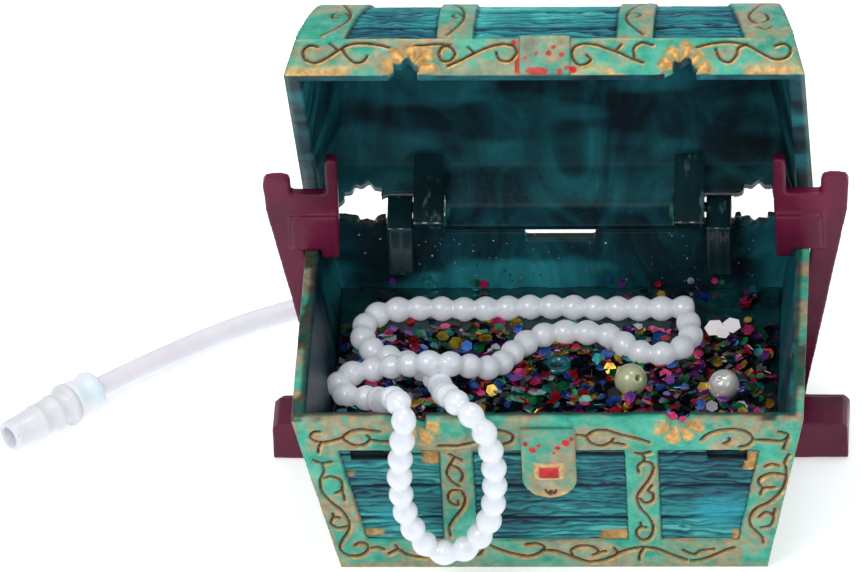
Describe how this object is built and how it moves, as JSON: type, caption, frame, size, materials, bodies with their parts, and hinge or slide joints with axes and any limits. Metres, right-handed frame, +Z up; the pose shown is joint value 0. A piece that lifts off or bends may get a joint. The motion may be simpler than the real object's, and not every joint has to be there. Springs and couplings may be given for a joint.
{
  "type": "bubbling ornament",
  "caption": "Open treasure chest for an aquarium, with a hinged arched lid, clip-on side supports, glitter bed, pearl strand and an air tube that feeds bubbles up under the lid.",
  "frame": {"origin": "middle of the base's underside, on the surface that the chest stands on", "axes": "+Z up; the chest's front faces -Y, so +Y is towards the hinges; +X is to the right as seen from the front"},
  "size_m": [0.1703, 0.1058, 0.105],
  "materials": {
    "chest_paint": "hand painted: mint bands rubbed with copper, teal and navy planks, bare dark teal inside",
    "inner_plastic": "dark moulded plastic",
    "ballast_stone": "rough cast",
    "glitter_resin": "clear resin full of hexagonal glitter",
    "ivory_pearl": "pearl lustre",
    "white_pearl": "pearl lustre",
    "strand_pearl": "pearl lustre",
    "air_tube_pvc": "milky flexible tube",
    "nozzle_plastic": "translucent blue-green",
    "lock_paint": "pale grey-green paint with red flecks",
    "hinge_plastic": "smoky moulded plastic",
    "pin_plastic": "dark moulded plastic",
    "burgundy_plastic": "moulded plastic with a soft sheen",
    "collar_plastic": "white moulded plastic",
    "clear_plastic": "clear moulded plastic"
  },
  "bodies": {
    "base": {"base_shell": "chest_paint", "bottom_plate": "inner_plastic", "ballast_weight": "ballast_stone", "treasure_tray": "inner_plastic", "glitter_bed": "glitter_resin", "loose_pearl_ivory": "ivory_pearl", "loose_pearl_white": "white_pearl", "air_inlet_fitting": "inner_plastic", "riser_tube": "air_tube_pvc", "bubble_nozzle": "nozzle_plastic", "base_lock_plate": "lock_paint", "base_hinge_lug_left": "hinge_plastic", "base_hinge_lug_right": "hinge_plastic", "hinge_pin_left": "pin_plastic", "hinge_pin_right": "pin_plastic", "air_tube": "air_tube_pvc", "pearl_strand": "strand_pearl", "tube_collar": "collar_plastic", "clear_connector": "clear_plastic"},
    "lid": {"lid_shell": "chest_paint", "lid_hinge_arm_left": "hinge_plastic", "lid_hinge_arm_right": "hinge_plastic", "lid_lock_plate": "lock_paint"},
    "support_left": {"side_support_left": "burgundy_plastic"},
    "support_right": {"side_support_right": "burgundy_plastic"}
  },
  "joints": [
    {"name": "lid_hinge", "type": "hinge", "parent": "base", "child": "lid", "pos_m": [0, 0.0346, 0.041], "axis": [-1, 0, 0], "range_deg": [-7, 9]},
    {"name": "left_support_rock", "type": "hinge", "parent": "base", "child": "support_left", "pos_m": [-0.0472, 0.0223, 0.041], "axis": [0, 1, 0], "range_deg": [0, 4]},
    {"name": "right_support_rock", "type": "hinge", "parent": "base", "child": "support_right", "pos_m": [0.0472, 0.0223, 0.041], "axis": [0, -1, 0], "range_deg": [0, 4]}
  ]
}
